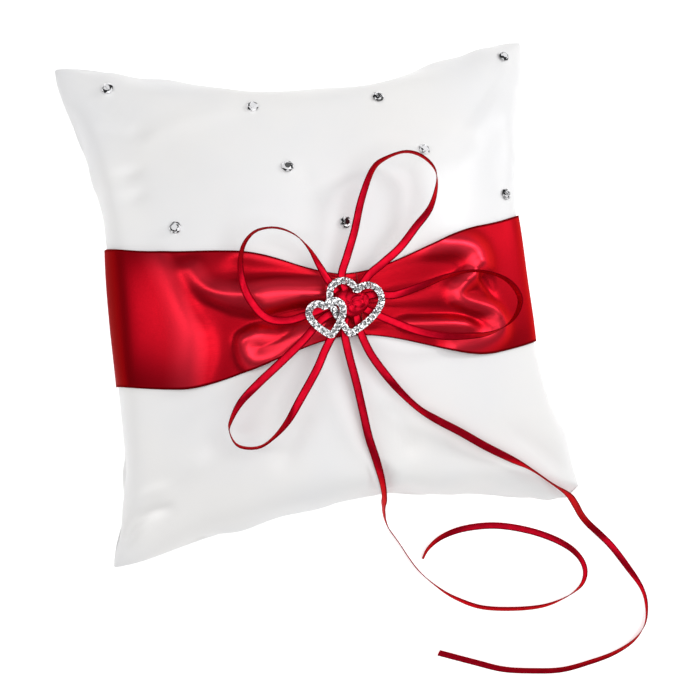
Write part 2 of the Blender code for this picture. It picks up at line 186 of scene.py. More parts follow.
# Folds of the sash: height (negative for a hollow), half width and the line that each one follows
SASH_FOLDS = [
    (1.6, 7.0, [(-70, 32), (-67, 20), (-63, 8), (-61, -4), (-60.5, -15), (-62, -26), (-66, -42)]),
    (-2.4, 5.0, [
        (-60, 34), (-59, 17), (-57.5, 7), (-53, -3), (-48.5, -10), (-47, -18), (-48, -26), (-52, -42),
    ]),
    (3.0, 4.2, [
        (-60, 20), (-57, 11), (-54.5, 5), (-51, 1.5), (-45, -0.4), (-38, -1), (-26, -0.3), (-2, -4),
    ]),
    (-1.3, 4.0, [(-48, 10), (-36, 7), (-22, 4), (-8, -1), (2, -4)]),
    (1.4, 4.5, [(-46, 18), (-30, 12), (-14, 5), (-2, 0)]),
    (2.6, 4.2, [(-42, -6), (-34, -5), (-22, -5), (-4, -6)]),
    (-2.8, 3.4, [(-50, -11), (-37, -12), (-29, -11), (-20, -9), (-8, -8.5), (4, -9)]),
    (3.2, 4.0, [(-28, -14), (-37, -15), (-41.5, -19), (-39, -25), (-30, -25), (-20, -20), (-6, -13)]),
    (1.3, 4.0, [(-42, -20), (-30, -19), (-18, -15), (-6, -11)]),
    (2.8, 5.5, [(24, 15), (36, 11), (45, 9.5), (51, 7), (53, 2), (50, -6)]),
    (2.8, 3.4, [(53, 6), (50, -1), (45, -4.5), (41, -8.5), (43, -12), (49, -14.5), (57, -17.5), (62, -26)]),
    (-2.3, 4.6, [(0, -4), (10, -2), (20, -0.5), (30, 0.5), (40, 1.5), (51, 1)]),
    (-2.6, 2.2, [(46, 2), (51, -1), (54.5, -4), (57, -9), (58, -14)]),
    (0.8, 5.0, [(0, 0), (14, 5), (28, 11), (42, 19)]),
    (-2.4, 3.2, [(2, -12), (14, -14), (26, -15), (38, -15.8), (48, -18), (57, -21)]),
    (2.4, 3.6, [(12, -17), (24, -18.5), (34, -19.5), (42, -20.5), (52, -23)]),
    (-1.6, 3.2, [(2, -18), (14, -22), (26, -26), (38, -29)]),
    (2.4, 5.0, [(28, -32), (40, -30), (50, -28.5), (58, -25.5), (66, -18)]),
]
FOLD_TAPER = 10.0
FOLD_FULL = 3.0  # height at which a fold's crest gets its full painted highlight
FOLD_SOFTNESS = 0.3  # how softly a hollow levels out on the pillow
SASH_FACING_STEP = 0.03
PLEAT_COUNT = 5.0
PLEAT_HEIGHT = 0.9
PLEAT_REACH = 12.0
PLEAT_SWAY = 0.4
PLEAT_SWAY_LENGTH = 5.0
GATHERING_AT = 0.02  # share of the sash's half length
GATHERING_POINTS = 30
GATHERING_OVER, GATHERING_UNDER = 0.6, -0.3
GATHERING_RADIUS = 0.2

# Bow: the routes of the frame's ribbons. Each point is x, y, z and the twist in degrees.
RIBBON_WIDTH = 3.0
RIBBON_THICKNESS = 0.22
RIBBON_STEP = 1.6
RIBBON_COLUMNS = 6
RIBBON_CUP = 0.16
RIBBON_CUP_LEVEL = 0.4
PILLOW_CORE = (0.0, -30.0, 32.0)
DENT_SLOPE = 0.12  # per millimetre, how a hollow under a ribbon opens out beside it
DENT_REACH = 9.0
COVER_CLEARANCE = 1.9
SASH_CLEARANCE = 0.8
LOOP_ROUTES = {
    "bow_loop_upper_right": [
        (-4, -5, 79.8, 0), (-5, 1, 80, 0), (-2, 8, 80, 0), (2, 17, 80, 10), (6, 28, 80, 20), (12, 39, 79, 45),
        (18, 43, 78, 75), (26, 45, 77, 90), (32, 43, 77, 95), (36, 38, 78, 100), (36, 32, 79, 115),
        (32, 23, 80, 140), (25, 16, 81, 160), (18, 9, 81, 170), (11, 4, 80, 180), (5, 0, 80, 180),
        (0, -6, 79.8, 180),
    ],
    "bow_loop_upper_left": [
        (-7, -5, 79, 0), (-10, 0, 79, 10), (-13, 6, 80, 30), (-16, 12, 81, 60), (-20, 17, 81, 80),
        (-25, 20, 81, 90), (-30, 21, 80, 90), (-35, 20, 79, 95), (-39, 16, 78, 105), (-41, 10, 78, 120),
        (-41, 3, 77, 140), (-39, -4, 77, 160), (-34, -11, 77, 170), (-27, -13, 78, 180),
        (-20, -12, 79, 180), (-13, -10, 80, 180), (-9, -9, 79.8, 180),
    ],
    "bow_loop_lower_left": [
        (-6, -14, 79, 0), (-10, -19, 79, 0), (-14, -25, 78, 0), (-18, -32, 77, 10), (-25, -42, 75, 20),
        (-30, -49, 73, 50), (-35, -54, 70, 80), (-40, -57, 68, 90), (-45, -57, 67, 90), (-49, -55, 67, 90),
        (-51, -50, 68, 95), (-50, -46, 70, 105), (-46, -40, 72, 130), (-39, -34, 74, 160),
        (-31, -28, 76, 170), (-22, -21, 78, 180), (-14, -14, 78.6, 180), (-9, -12, 78.8, 180),
    ],
    "bow_loop_right": [
        (1, -8, 79, 0), (7, -7, 79, 0), (14, -8, 79, 10), (24, -6, 79, 30), (36, -3, 78, 60),
        (47, -2, 76, 80), (57, -4, 73, 90), (64, -8, 70, 90), (67, -14, 69, 90), (64, -20, 70, 95),
        (58, -24, 72, 105), (50, -26, 74, 125), (41, -26, 76, 145), (31, -25, 78, 160),
        (21, -22, 79, 170), (11, -17, 79, 180), (4, -13, 79, 180), (1, -11, 79, 180),
    ],
}
TAIL_ROUTES = {
    "ribbon_tail_left": [
        (-5, -14, 78.2, 0), (-6, -20, 77.5, 0), (-5, -28, 76, 0), (-3, -38, 73.5, 0), (-1, -49, 70, 0),
        (1, -59, 66, 10), (4, -68, 61, 20), (7, -77, 54, 50), (9.4, -84, 45, 70), (11.4, -88, 34, 80),
        (14, -91, 23, 85), (17, -96, 11, 85), (20, -101, 3, 85), (24, -108, 0, 85), (31, -121, 0, 85),
        (40, -131, 0, 65), (48, -137, 0, 45), (58, -142, 0, 35), (72, -145, 0, 32), (86, -146, 0, 35),
        (97, -144, 0, 50), (105, -140, 0, 75), (108, -134, 0, 90), (106, -127, 0, 110),
        (99, -120, 0, 135), (86, -113, 0, 145), (70, -108, 0, 148), (55, -107, 0, 145),
        (44, -109, 0, 130), (37, -113, 0, 115), (34, -117, 0, 105),
    ],
    "ribbon_tail_right": [
        (-1, -13, 78.2, 0), (0, -20, 77.5, 0), (3, -28, 76, 0), (8, -36, 74, 10), (14, -44, 72, 40),
        (21, -51, 69, 45), (28, -56, 67, 20), (38, -62, 63, 0), (49, -69, 58, 0), (61, -76, 53, 30),
        (71, -82, 48, 75), (81, -89, 42, 80), (90, -95, 36, 55), (97, -101, 26, 30), (104, -107, 14, 10),
        (111, -113, 5, 10), (121, -123, 0, 15), (129, -136, 0, 40), (134, -146, 0, 75),
        (135, -154, 0, 92), (133, -162, 0, 110), (127, -168, 0, 130), (117, -172, 0, 140),
        (105, -174, 0, 145), (91, -175, 0, 148), (77, -173, 0, 148), (64, -170, 0, 148),
        (52, -165, 0, 148), (36, -158, 0, 148),
    ],
}
KNOT_AT = (-2.6, -9.0, 79.0)
KNOT_RADII = (6.6, 5.0, 1.8)
KNOT_HOLLOW = 0.84  # share of the knot's radii at the bottom of its creases
KNOT_CREASE = 0.13
KNOT_WRAPS = 2.5
KNOT_CRUMPLES = 4.0
KNOT_SWAY = 3.0
KNOT_GRID = (41, 56)

# Brooch: two joined hearts, each a band with a row of stones
HEART_LOBE_RADIUS = 4.6
HEART_LOBE_X = 4.25
HEART_TIP_Y = -12.5
HEART_FLANK = 5.0
HEART_CLEFT_ANGLE = 157.5
HEART_FLANK_ANGLE = -10.0
HEART_STEPS = 60
HEARTS = {
    # place of the lobes' middle, size, turn about Z and tilt about Y in degrees
    "large_heart": ((-1.1, -7.3, 81.6), 1.1, -16.0, 0.0),
    "small_heart": ((-13.0, -11.5, 82.8), 0.71, 5.0, -7.0),
}
BAND_SECTION = [(-1.15, -0.6), (-1.3, -0.2), (-1.2, 0.05), (1.2, 0.05), (1.3, -0.2), (1.15, -0.6)]
BAND_STEPS = 6  # rows of the band's points for each stone
BAND_SHARP_ANGLE = 40.0
LINE_STEP = 0.2  # distance between the points that give a line's direction
BROOCH_STONE_PITCH = 1.95
BROOCH_STONE_RADIUS = 0.92
BROOCH_STONE_RISE = 0.25
PAINTED_BLACK_TABLES = 0.6  # share of the brooch's stones whose flat top is painted black, as a painted dark reflection
CLAW_RADIUS = 0.27
CLAW_OUT = 1.05
CLAW_HEIGHT = 0.32
CLAW_GRID = (6, 8)

CLASP_STITCHES = {"brooch_stitch_left": (-4.2, -1.15), "brooch_stitch_right": (4.8, -3.7)}
CLASP_STITCH_REACH = 1.75
CLASP_STITCH_RISE = 0.8
CLASP_STITCH_STEPS = 16
CLASP_STITCH_ENDS = (-30, 210)  # degrees round the band
CLASP_THREAD_RADIUS = 0.11

# Cut stones: from the table down, each ring's radius and height in stone radii, and its turn in facets
CUT_RINGS = [(0.5, 0.36, 0.5), (0.78, 0.22, 0.0), (1.0, 0.0, 0.5), (0.75, -0.3, 0.5)]
CUT_FACETS = 8
CUT_TURN = 6.0  # radians, a stone's largest turn

# Rhinestones glued to the face
STONE_RADIUS = 2.35
STONE_SEAT = 0.8
STONE_PLACES = [
    (-78, 85), (-25.5, 71), (24.5, 71.5), (85.5, 89),
    (-17, 45), (38, 48),
    (-60.5, 27), (1.5, 21.5), (73, 29.5),
]

RIB_PITCH = 0.45

SEED = 11
SCENE = bpy.context.scene


# Meshes


def make_object(name, points, faces, material, smooth=True, **values):
    """A mesh object from points in millimetres, with values at its points for the material to read."""
    mesh = bpy.data.meshes.new(name)
    mesh.from_pydata([tuple(point) for point in np.asarray(points, float) * MM], [], faces)
    mesh.materials.append(material)
    mesh.update()
    for key, numbers in values.items():
        attribute = mesh.attributes.new(key, "FLOAT", "POINT")
        attribute.data.foreach_set("value", np.asarray(numbers, np.float32).ravel())
    obj = bpy.data.objects.new(name, mesh)
    SCENE.collection.objects.link(obj)
    if smooth:
        mesh.shade_smooth()
    return obj


def point_numbers(rows, columns, first=0, wrap=(0, 0)):
    """Numbers of the points in a grid. A wrap of 1 repeats the first row or column after the last."""
    numbers = first + np.arange(rows * columns).reshape(rows, columns)
    return np.pad(numbers, ((0, wrap[0]), (0, wrap[1])), mode="wrap")


def grid_faces(numbers, flip=False):
    """Quads between the numbered points of a grid."""
    corners = [numbers[:-1, :-1], numbers[:-1, 1:], numbers[1:, 1:], numbers[1:, :-1]]
    quads = np.stack(corners, axis=-1).reshape(-1, 4)
    return (quads[:, ::-1] if flip else quads).tolist()


def globe(rows, columns):
    """Rise, angle and unit vector of each point of a globe, row by row."""
    for row in range(rows):
        rise = blend(-0.5, 0.5, row / (rows - 1)) * math.pi
        for column in range(columns):
            angle = column / columns * 2 * math.pi
            flat = math.cos(rise)
            yield rise, angle, Vector((flat * math.cos(angle), flat * math.sin(angle), math.sin(rise)))


def attach(piece, slot, *nodes):
    """The piece rides on the pillow and stands for these nodes, which are hidden. The slot is not used."""
    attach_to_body(piece, "root")
    if nodes:
        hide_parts(*nodes)


def smoothstep(value):
    value = np.clip(value, 0.0, 1.0)
    return value * value * (3 - 2 * value)


def blend(start, end, share):
    return start + (end - start) * share


def spline_weights(u):
    """Weights of four points for the smooth curve from the second to the third."""
    return [
        0.5 * (-u + 2 * u**2 - u**3),
        0.5 * (2 - 5 * u**2 + 3 * u**3),
        0.5 * (u + 4 * u**2 - 3 * u**3),
        0.5 * (u**3 - u**2),
    ]


# Materials


class Material:
    """A node material with its Principled shader, and short ways to add nodes."""

    def __init__(self, name, colour, roughness, metallic=0.0):
        self.material = bpy.data.materials.new(name)
        self.material.use_nodes = True
        self.tree = self.material.node_tree
        self.shader = self.tree.nodes["Principled BSDF"]
        self.set("Base Color", (*colour, 1))
        self.set("Roughness", roughness)
        self.set("Metallic", metallic)

    def set(self, socket, value):
        self.shader.inputs[socket].default_value = value

    def node(self, kind, inputs=(), **settings):
        made = self.tree.nodes.new("ShaderNode" + kind)
        for key, value in settings.items():
            setattr(made, key, value)
        for key, value in dict(inputs).items():
            if isinstance(value, bpy.types.NodeSocket):
                self.tree.links.new(value, made.inputs[key])
            else:
                made.inputs[key].default_value = value
        return made

    def link(self, output, socket):
        self.tree.links.new(output, self.shader.inputs[socket])

    def value_of(self, name):
        return self.node("Attribute", attribute_name=name).outputs["Fac"]

    def noise(self, scale, detail=2.0, roughness=0.5):
        """Noise with scale's waves per millimetre along the object's X, Y and Z."""
        place = self.node("TexCoord").outputs["Object"]
        size = tuple(waves / MM for waves in scale)
        scaled = self.node("Mapping", {"Vector": place, "Scale": size}).outputs["Vector"]
        inputs = {"Vector": scaled, "Scale": 1.0, "Detail": detail, "Roughness": roughness}
        return self.node("TexNoise", inputs).outputs["Fac"]

    def mottle(self, scale, detail, span, *colours, roughness=0.5):
        """Mixes two base colours by a noise, and returns the noise."""
        noise = self.noise((scale, scale, scale), detail, roughness)
        self.link(self.mix(self.ramp(noise, *span), *colours), "Base Color")
        return noise

    def math(self, operation, first, second=0.0):
        return self.node("Math", {0: first, 1: second}, operation=operation).outputs[0]

    def ramp(self, value, low, high, to_low=0.0, to_high=1.0):
        inputs = {"Value": value, "From Min": low, "From Max": high, "To Min": to_low, "To Max": to_high}
        return self.node("MapRange", inputs).outputs["Result"]

    def mix(self, share, *colours):
        first, second = (c if isinstance(c, bpy.types.NodeSocket) else (*c, 1) for c in colours)
        return self.node("Mix", {0: share, 6: first, 7: second}, data_type="RGBA").outputs[2]

    def bump(self, height, strength, distance):
        inputs = {"Height": height, "Strength": strength, "Distance": distance * MM}
        self.link(self.node("Bump", inputs).outputs["Normal"], "Normal")


def make_white_satin():
    satin = Material("white_satin_cloth", (0.9, 0.895, 0.89), roughness=0.42)
    satin.mottle(0.02, 3.0, BROAD_RANGE, WHITE_COOL, WHITE_WARM)
    threads = satin.noise((0.15, 3.0, 3.0))
    satin.link(satin.ramp(threads, *FINE_RANGE, to_low=0.36, to_high=0.46), "Roughness")
    satin.set("Sheen Weight", 0.2)
    satin.set("Sheen Roughness", 0.4)
    satin.set("Specular IOR Level", 0.6)
    satin.bump(threads, strength=0.1, distance=0.06)
    return satin.material


def red_satin(name, colour, roughness, edge_start, edge_full):
    """A lustrous red satin, and where its thin woven edges are."""
    satin = Material(name, colour, roughness, metallic=RED_LUSTRE)
    satin.set("Specular IOR Level", 0.2)
    satin.set("Specular Tint", (*RED_EDGE, 1))
    return satin, satin.ramp(satin.math("ABSOLUTE", satin.value_of("across")), edge_start, edge_full)


def make_wide_satin():
    """Sash satin, with painted highlight on fold crests and painted shading in hollows and at the left end.
    """
    satin, woven_edge = red_satin("wide_red_satin", SASH_RED, 0.34, 0.955, 0.975)
    fold = satin.value_of("fold")
    threads = satin.noise((0.2, 3.5, 3.5))
    cloth = satin.mix(satin.ramp(threads, *FINE_RANGE, to_high=0.18), SASH_RED, SASH_DARK_AND_SHADE)
    # Painted highlight: the higher a fold's crest, the lighter its red
    cloth_and_painted_highlight = satin.mix(satin.ramp(fold, 0.1, 1.0, to_high=0.75), cloth, SASH_PAINTED_HIGHLIGHT)
    # Painted shading: the left end, which faces away from the light, is darker
    left_end_painted_shade = satin.ramp(satin.value_of("along"), -0.84, -0.6, to_low=0.9, to_high=0.0)
    # Painted shading: the folds' hollows are darker
    hollow = satin.ramp(fold, -0.9, -0.1, to_low=0.55, to_high=0.0)
    # The woven edges are the satin's own darker edges; the rest of this darkening is painted shading
    woven_edge_and_painted_shade = satin.math("MAXIMUM", satin.math("MAXIMUM", woven_edge, left_end_painted_shade), hollow)
    satin.link(satin.mix(woven_edge_and_painted_shade, cloth_and_painted_highlight, SASH_DARK_AND_SHADE), "Base Color")
    weave = satin.ramp(threads, *FINE_RANGE, to_low=0.36, to_high=0.43)
    satin.link(satin.math("ADD", weave, satin.math("MULTIPLY", woven_edge, 0.2)), "Roughness")
    satin.bump(threads, strength=0.08, distance=0.05)
    return satin.material


def make_narrow_satin():
    """Satin of the narrow ribbon: fine ribs across it between its woven edges."""
    satin, woven_edge = red_satin("narrow_red_satin", RIBBON_RED, 0.42, 0.62, 0.8)
    ribs = satin.math("SINE", satin.math("MULTIPLY", satin.value_of("along"), 2 * math.pi / RIB_PITCH))
    picots = satin.ramp(satin.math("MULTIPLY", ribs, woven_edge), 0.0, 1.0)
    cloudy = satin.noise((0.35, 0.35, 0.35))
    cloth = satin.mix(satin.ramp(cloudy, *BROAD_RANGE, to_high=0.3), RIBBON_RED, RIBBON_DARK)
    satin.link(satin.mix(satin.math("MULTIPLY", woven_edge, 0.8), cloth, RIBBON_DARK), "Base Color")
    satin.link(satin.math("ADD", satin.math("MULTIPLY", woven_edge, 0.2), 0.4), "Roughness")
    relief = satin.math("ADD", satin.math("MULTIPLY", ribs, 0.12), satin.math("MULTIPLY", picots, 0.6))
    satin.bump(relief, strength=0.4, distance=0.08)
    return satin.material


def make_thread(name, colour):
    thread = Material(name, colour, roughness=0.6)
    # Painted shading: a noise darkens the thread where its plies' hollows would be shaded
    hollow = tuple(part * THREAD_SHADE for part in colour)
    plies = thread.mottle(3.0, 1.0, BROAD_RANGE, colour, hollow)
    thread.bump(plies, strength=0.4, distance=0.08)
    return thread.material


def make_fibre():
    fibre = Material("stuffing_fibre", (0.93, 0.93, 0.93), roughness=0.9)
    tangle = fibre.mottle(0.5, 6.0, WHOLE_RANGE, FIBRE_DARK, FIBRE_LIGHT, roughness=0.7)
    fibre.bump(tangle, strength=0.8, distance=1.0)
    return fibre.material


def make_silver():
    silver = Material("plated_silver", (0.6, 0.6, 0.62), roughness=0.3, metallic=1.0)
    # The silver goes from nearly black to bright in random patches of a noise
    grain = silver.mottle(1.2, 3.0, SILVER_SPECKLE_RANGE, SILVER_DARK, SILVER_LIGHT)
    silver.link(silver.ramp(grain, *FINE_RANGE, to_low=0.22, to_high=0.4), "Roughness")
    silver.bump(grain, strength=0.1, distance=0.05)
    return silver.material


def make_crystal():
    """Foil-backed stones. Each facet's tone, from nearly black to white, is a painted reflection, with
    painted glints.
    """
    crystal = Material("foil_backed_crystal", (0.8, 0.82, 0.85), roughness=0.08, metallic=0.15)
    # Painted glints: a noise shifts each facet's painted reflection tone
    depth = crystal.noise((1.6, 1.6, 1.6))
    painted_sparkle = crystal.math("MULTIPLY", crystal.math("SUBTRACT", depth, 0.5), 0.6)
    facet = crystal.math("ADD", crystal.value_of("tone"), painted_sparkle)
    tone = crystal.mix(crystal.ramp(facet, 0.42, 0.55), CRYSTAL_DARK_REFLECTION, CRYSTAL_BRIGHT_REFLECTION)
    crystal.link(tone, "Base Color")
    crystal.set("Coat Weight", 1.0)
    crystal.set("Coat Roughness", 0.02)
    return crystal.material


# Camera and light


def make_camera():
    data = bpy.data.cameras.new("camera")
    data.lens = CAMERA_LENS
    camera = bpy.data.objects.new("camera", data)
    camera.location = Vector(CAMERA_AT) * MM
    camera.rotation_euler = [math.radians(angle) for angle in CAMERA_TURN]
    data.clip_start = 0.01
    SCENE.collection.objects.link(camera)
    SCENE.camera = camera


def make_light(name, place, target, size, power):
    data = bpy.data.lights.new(name, "AREA")
    data.shape = "ELLIPSE"
    data.size, data.size_y = size
    data.energy = power
    light = bpy.data.objects.new(name, data)
    light.location = place
    light.rotation_euler = (Vector(target) - Vector(place)).to_track_quat("-Z", "Y").to_euler()
    SCENE.collection.objects.link(light)


def make_studio():
    world = bpy.data.worlds.new("studio")
    world.use_nodes = True
    background = world.node_tree.nodes["Background"]
    background.inputs["Color"].default_value = (1, 1, 1, 1)
    background.inputs["Strength"].default_value = WORLD_STRENGTH
    SCENE.world = world
    SCENE.view_settings.view_transform = "Standard"
    for light in LIGHTS:
        make_light(*light)


def make_floor():
    paper = Material("studio_paper", (0.9, 0.9, 0.9), roughness=0.9)
    paper.mottle(0.2, 3.0, WHOLE_RANGE, PAPER_DARK, PAPER_LIGHT)
    paper.set("Emission Color", (1, 1, 1, 1))
    paper.set("Emission Strength", FLOOR_GLOW)
    corners = [(x * FLOOR_HALF, y * FLOOR_HALF, FLOOR_LEVEL) for x, y in ((-1, -1), (1, -1), (1, 1), (-1, 1))]
    floor = make_object("studio_floor", corners, [(0, 1, 2, 3)], paper.material, smooth=False)


# Ribbons


def smooth_route(route, step):
    """The route's points and twists on a smooth curve through them, about step apart."""
    rows = [route[0], *route, route[-1]]
    fine = []
    for before, start, end, after in zip(rows, rows[1:], rows[2:], rows[3:]):
        parts = max(1, round((Vector(end[:3]) - Vector(start[:3])).length / step))
        for part in range(parts):
            weights = spline_weights(part / parts)
            fine.append([np.dot(weights, values) for values in zip(before, start, end, after)])
    fine.append(list(route[-1]))
    return [Vector(row[:3]) for row in fine], [math.radians(row[3]) for row in fine]


def ribbon_sides(points, twists):
    """The ways along and across the ribbon at each point, turned by the route's twists."""
    facing = Vector((0, 0, 1))
    sides = []
    previous = None
    for i, twist in enumerate(twists):
        tangent = (points[min(i + 1, len(points) - 1)] - points[max(i - 1, 0)]).normalized()
        if previous is not None:
            facing = previous.rotation_difference(tangent) @ facing
        facing = (facing - tangent * facing.dot(tangent)).normalized()
        previous = tangent
        sides.append((tangent, Quaternion(tangent, twist) @ facing.cross(tangent)))
    return sides


def make_ribbon(name, route, material):
    points, twists = smooth_route(route, RIBBON_STEP)
    sides = ribbon_sides(points, twists)
    middles, strip, across, along = [], [], [], []
    travelled = 0.0
    for i, (tangent, side) in enumerate(sides):
        middle = points[i].copy()
        middle.z = max(middle.z, RIBBON_THICKNESS / 2 + abs(side.z) * RIBBON_WIDTH / 2)
        if middles:
            travelled += (middle - middles[-1]).length
        middles.append(middle)
        face = side.cross(tangent)
        for column in range(RIBBON_COLUMNS + 1):
            share = 2 * column / RIBBON_COLUMNS - 1
            cup = RIBBON_CUP * (share**2 - RIBBON_CUP_LEVEL)
            strip.append(middle + side * share * RIBBON_WIDTH / 2 + face * cup)
            across.append(share)
            along.append(travelled)
    faces = grid_faces(point_numbers(len(middles), RIBBON_COLUMNS + 1))
    ribbon = make_object(name + "_satin", strip, faces, material, across=across, along=along)
    cloth = ribbon.modifiers.new("cloth", "SOLIDIFY")
    cloth.thickness = RIBBON_THICKNESS * MM
    cloth.offset = 0
    attach(ribbon, "red_ribbon", name)


# Cover


def frame_surface(s, t, rise):
    """The frame's own panel surface at shares s and t of its half width and height."""
    across, along = (np.maximum(1 - np.abs(share) ** ROUNDNESS, 0) for share in (s, t))
    x = s * (HALF_SIDE - EDGE_PULL * (1 - t**4))
    y = t * (HALF_SIDE - EDGE_PULL * (1 - s**4))
    return np.stack([x, y, SEAM_HEIGHT + rise * (across * along) ** STEEPNESS], axis=-1)


def cell_shares():
    """Shares of the cloth's lines of points, from one edge to the other."""
    return np.linspace(-1, 1, CLOTH_CELLS + 1)


def sewn_square():
    """Two flat square grids that share their edge: point numbers, points and faces."""
    count = CLOTH_CELLS + 1
    numbers = np.stack([point_numbers(count, count)] * 2)
    numbers[1, 1:-1, 1:-1] = point_numbers(count - 2, count - 2, first=count * count)
    s, t = np.meshgrid(cell_shares(), cell_shares())
    points = np.zeros((numbers.max() + 1, 3))
    for grid, up in zip(numbers, (1, -1)):
        rise = up * START_RISE * (1 - s * s) * (1 - t * t)
        points[grid] = np.stack([s * CLOTH_HALF, t * CLOTH_HALF, rise], axis=-1)
    return numbers, points, grid_faces(numbers[0]) + grid_faces(numbers[1], flip=True)


def inflate(points, faces):
    """The sewn cover's points after a cloth simulation has swelled it."""
    cover = make_object("cover_cloth", points, faces, bpy.data.materials.new("plain"))
    cloth = cover.modifiers.new("stuffing", "CLOTH")
    for key, value in CLOTH_SETTINGS.items():
        setattr(cloth.settings, key, value)
    cloth.settings.effector_weights.gravity = 0
    cloth.collision_settings.use_collision = False
    cloth.point_cache.frame_end = CLOTH_FRAMES
    for number in range(1, CLOTH_FRAMES + 1):
        SCENE.frame_set(number)
    shape = cover.evaluated_get(bpy.context.evaluated_depsgraph_get()).to_mesh()
    swollen = np.zeros(len(points) * 3)
    shape.vertices.foreach_get("co", swollen)
    bpy.data.objects.remove(cover, do_unlink=True)
    SCENE.frame_set(1)
    return swollen.reshape(-1, 3) / MM


def spread_out(values, faces, passes):
    """Values at the points, averaged with their neighbours several times."""
    quads = np.array(faces)
    ends = np.concatenate([quads[:, [i, (i + 1) % 4]] for i in range(4)])
    ends = np.concatenate([ends, ends[:, ::-1]])
    counts = np.bincount(ends[:, 0], minlength=len(values))[:, None]
    for _ in range(passes):
        sums = [np.bincount(ends[:, 0], column[ends[:, 1]], len(values)) for column in values.T]
        values = (1 - SMOOTHING) * values + SMOOTHING * np.stack(sums, axis=1) / counts
    return values


def corners_back(shape, form, numbers):
    """Moves each corner of the cover onto the frame's, and what is round it by less and less."""
    s, t = np.meshgrid(cell_shares(), cell_shares())
    moved = shape.copy()
    for row, up in ((0, -1), (-1, 1)):
        for column, right in ((0, -1), (-1, 1)):
            corner = numbers[0, row, column]
            share = (np.maximum(s * right, 0) * np.maximum(t * up, 0)) ** CORNER_FADE
            step = np.zeros_like(shape)
            step[numbers] = share[..., None] * (form[corner] - shape[corner])
            moved += step
    return moved


def edges_strayed(shape, numbers):
    """Moves stretches of the seam out or in, and the panels beside them by less and less."""
    place = np.stack(np.meshgrid(cell_shares(), cell_shares()))
    moved = shape.copy()
    for axis, sign, middle, reach, outwards in EDGE_STRAYS:
        depth = np.maximum(place[axis] * sign, 0) ** EDGE_FADE
        along = np.exp(-(((place[1 - axis] - middle) / reach) ** 2)) * (1 - place[1 - axis] ** 2)
        step = np.zeros(len(shape))
        step[numbers] = sign * outwards * depth * along
        moved[:, axis] += step
    return moved


def flattened(front):
    """The front grid with its puckers smoothed out under the sash."""
    off = np.abs(cell_shares()[1:-1, None, None] - PRESSED_MIDDLE)
    held = PRESSED_STRENGTH * smoothstep((PRESSED_HALF + PRESSED_FADE - off) / PRESSED_FADE)
    for _ in range(PRESSED_PASSES):
        front[1:-1] = blend(front[1:-1], (front[:-2] + front[2:]) / 2, held)
    return front


def stuffed_cover():
    """The cover's front and back grids: the frame's form with the cloth's puckers and ears."""
    numbers, points, faces = sewn_square()
    crowded = blend(cell_shares(), np.sin(cell_shares() * math.pi / 2), EDGE_SINE)
    s, t = np.meshgrid(crowded, crowded)
    form = np.zeros_like(points)
    form[numbers[1]] = frame_surface(s, t, -BACK_DROP)
    form[numbers[0]] = frame_surface(s, t, FACE_TOP - SEAM_HEIGHT)
    swollen = spread_out(inflate(points, faces), faces, IRON_PASSES) + Vector((0, 0, SEAM_HEIGHT))
    shape = corners_back(swollen + spread_out(form - swollen, faces, SETTLE_PASSES), form, numbers)
    shape = edges_strayed(shape, numbers)
    shape[numbers[0]] = flattened(shape[numbers[0]])
    z = shape[:, 2]
    near = np.clip((z + FLOOR_SOFTNESS) / (2 * FLOOR_SOFTNESS), 0, 1)
    shape[:, 2] = np.where(z < FLOOR_SOFTNESS, FLOOR_SOFTNESS * near**2, z)
    return shape[numbers[0]], shape[numbers[1]]


def sample(grid, s, t):
    """Points at shares s and t on the smooth surface through a grid of points."""
    padded = np.pad(grid, ((1, 1), (1, 1), (0, 0)), mode="reflect", reflect_type="odd")
    count = len(grid) - 1

    def weights(share):
        place = (np.clip(share, -1, 1) + 1) / 2 * count
        first = np.minimum(place.astype(int), count - 1)
        return first, spline_weights((place - first)[..., None])

    column, across = weights(np.asarray(s, float))
    row, up = weights(np.asarray(t, float))
    return sum(across[i] * up[j] * padded[row + j, column + i] for i in range(4) for j in range(4))


def facing(grid, s, t, step=0.012):
    """The unit normals of that surface."""
    low_s, high_s = np.clip(s - step, -1, 1), np.clip(s + step, -1, 1)
    low_t, high_t = np.clip(t - step, -1, 1), np.clip(t + step, -1, 1)
    normal = np.cross(
        sample(grid, high_s, t) - sample(grid, low_s, t), sample(grid, s, high_t) - sample(grid, s, low_t)
    )
    return normal / np.linalg.norm(normal, axis=-1, keepdims=True)


def shares_at(grid, x, y):
    """The shares of the surface's point over a place in plan."""
    s, t = x / HALF_SIDE, y / HALF_SIDE
    for _ in range(SEARCH_ROUNDS):
        off = sample(grid, s, t)[..., :2] - np.stack([x, y], axis=-1)
        s = s - off[..., 0] / HALF_SIDE
        t = t - off[..., 1] / HALF_SIDE
    return s, t


def ribbon_lines():
    """Points along every ribbon, its direction there and the way out of the pillow."""
    middles, ways, outs = [], [], []
    for route in (*LOOP_ROUTES.values(), *TAIL_ROUTES.values()):
        points, _ = smooth_route(route, RIBBON_STEP)
        for before, point, after in zip(points, points[1:], points[2:]):
            way = (after - before).normalized()
            out = point - Vector(PILLOW_CORE)
            middles.append(point)
            ways.append(way)
            outs.append((out - way * out.dot(way)).normalized())
    return np.array(middles), np.array(ways), np.array(outs)


